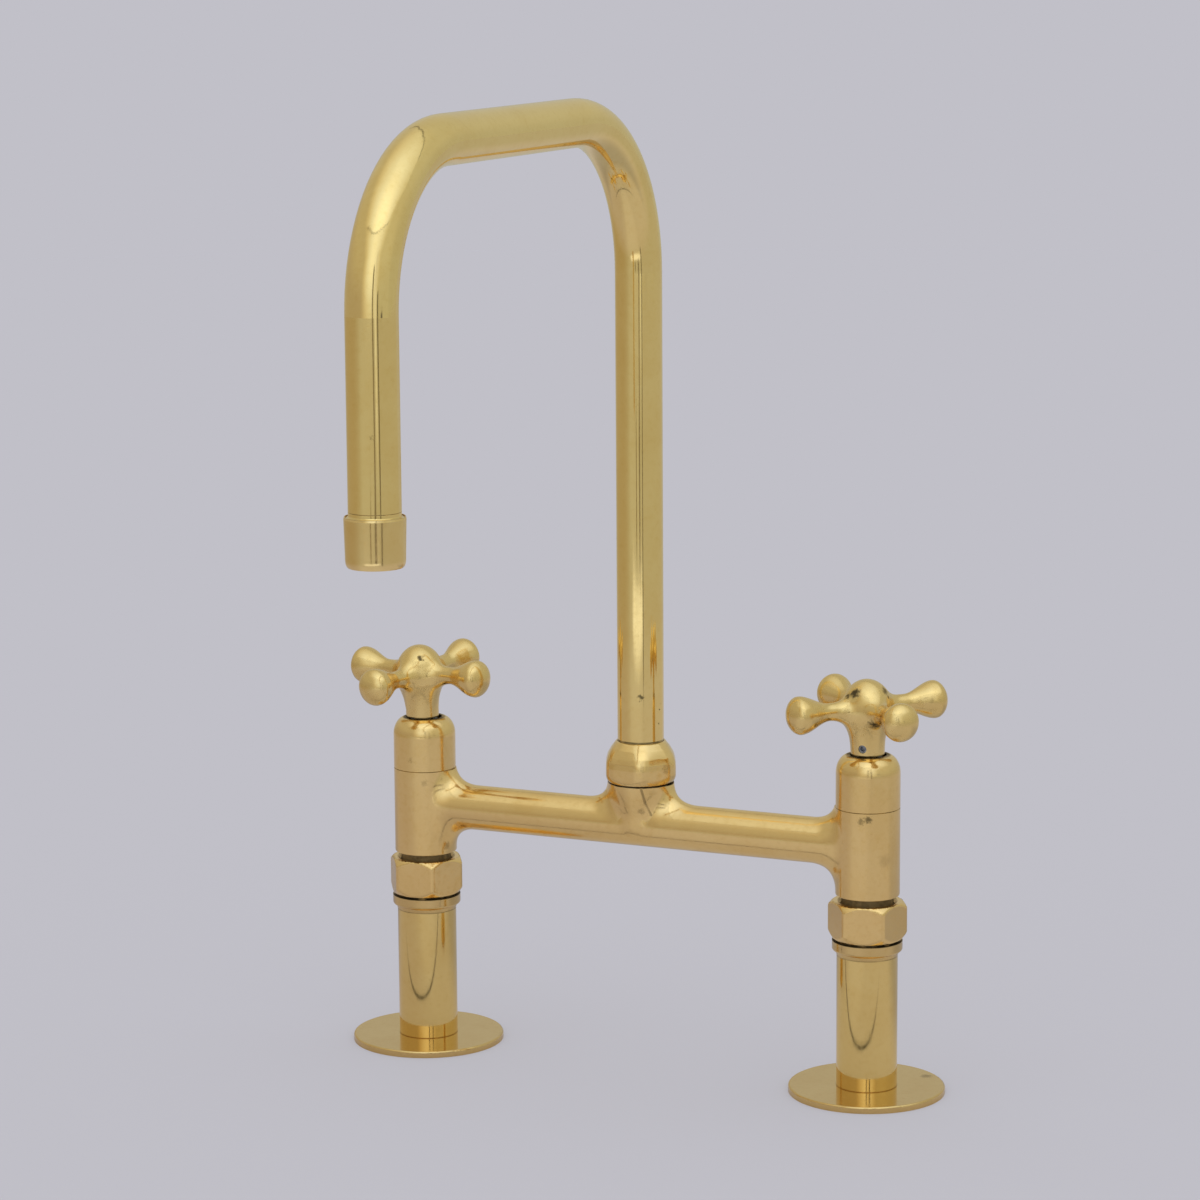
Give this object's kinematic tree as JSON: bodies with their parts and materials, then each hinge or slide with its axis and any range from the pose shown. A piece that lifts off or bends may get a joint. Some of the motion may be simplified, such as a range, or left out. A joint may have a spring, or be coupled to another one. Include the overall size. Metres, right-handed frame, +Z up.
{
  "type": "bridge kitchen faucet",
  "caption": "Deck-mounted bridge kitchen faucet in unlacquered brass: tall swivelling square-arch spout, cross handles on quarter-turn valves, straight legs on round deck flanges.",
  "frame": {"origin": "on the deck surface, midway between the two leg axes", "axes": "+Z up, +X along the bridge towards the right-hand (cold) valve, spout reaches out towards -Y; valves shut at rest"},
  "size_m": [0.2718, 0.2836, 0.4116],
  "materials": {
    "drawn_brass": "polished, unlacquered, fine lengthwise grain",
    "turned_brass": "polished, unlacquered, fine turned grain",
    "cast_brass": "cast and polished, unlacquered, slightly warmer",
    "machined_brass": "machined, darkened",
    "tarnished_brass": "unpolished, blackened by the brazing heat",
    "black_rubber": "matt",
    "nylon": "matt",
    "grey_plastic": "matt",
    "red_fibre": "matt",
    "ceramic": "lapped",
    "spring_steel": "plain",
    "black_steel": "phosphated black"
  },
  "bodies": {
    "base": {"bridge_body": "cast_brass", "riser_nut": "cast_brass", "swivel_washer": "nylon", "left_deck_flange": "turned_brass", "left_leg_pipe": "drawn_brass", "left_leg_fitting": "turned_brass", "left_union_nut": "cast_brass", "left_union_washer": "red_fibre", "left_union_tail": "tarnished_brass", "left_seat_seal": "black_rubber", "left_fixed_disc": "ceramic", "left_headwork_body": "machined_brass", "left_headwork_gasket": "red_fibre", "left_bonnet": "cast_brass", "right_deck_flange": "turned_brass", "right_leg_pipe": "drawn_brass", "right_leg_fitting": "turned_brass", "right_union_nut": "cast_brass", "right_union_washer": "red_fibre", "right_union_tail": "tarnished_brass", "right_seat_seal": "black_rubber", "right_fixed_disc": "ceramic", "right_headwork_body": "machined_brass", "right_headwork_gasket": "red_fibre", "right_bonnet": "cast_brass"},
    "spout": {"swivel_spigot": "machined_brass", "swivel_o_rings": "black_rubber", "spout_tube": "drawn_brass", "outlet_collar": "drawn_brass", "aerator_shell": "turned_brass", "aerator_washer": "black_rubber", "aerator_core": "grey_plastic", "aerator_filter": "grey_plastic"},
    "left_handle": {"left_moving_disc": "ceramic", "left_spindle": "machined_brass", "left_spindle_rings": "black_rubber", "left_spindle_clip": "black_steel", "left_cross_handle": "cast_brass", "left_handle_screw": "spring_steel"},
    "right_handle": {"right_moving_disc": "ceramic", "right_spindle": "machined_brass", "right_spindle_rings": "black_rubber", "right_spindle_clip": "black_steel", "right_cross_handle": "cast_brass", "right_handle_screw": "spring_steel"}
  },
  "joints": [
    {"name": "spout_swivel", "type": "hinge", "parent": "base", "child": "spout", "pos_m": [0, 0, 0.1321], "axis": [0, 0, 1], "continuous": true},
    {"name": "left_valve", "type": "hinge", "parent": "base", "child": "left_handle", "pos_m": [-0.1016, 0, 0.14355], "axis": [0, 0, 1], "range_deg": [0, 90]},
    {"name": "right_valve", "type": "hinge", "parent": "base", "child": "right_handle", "pos_m": [0.1016, 0, 0.14355], "axis": [0, 0, 1], "range_deg": [-90, 0]}
  ]
}
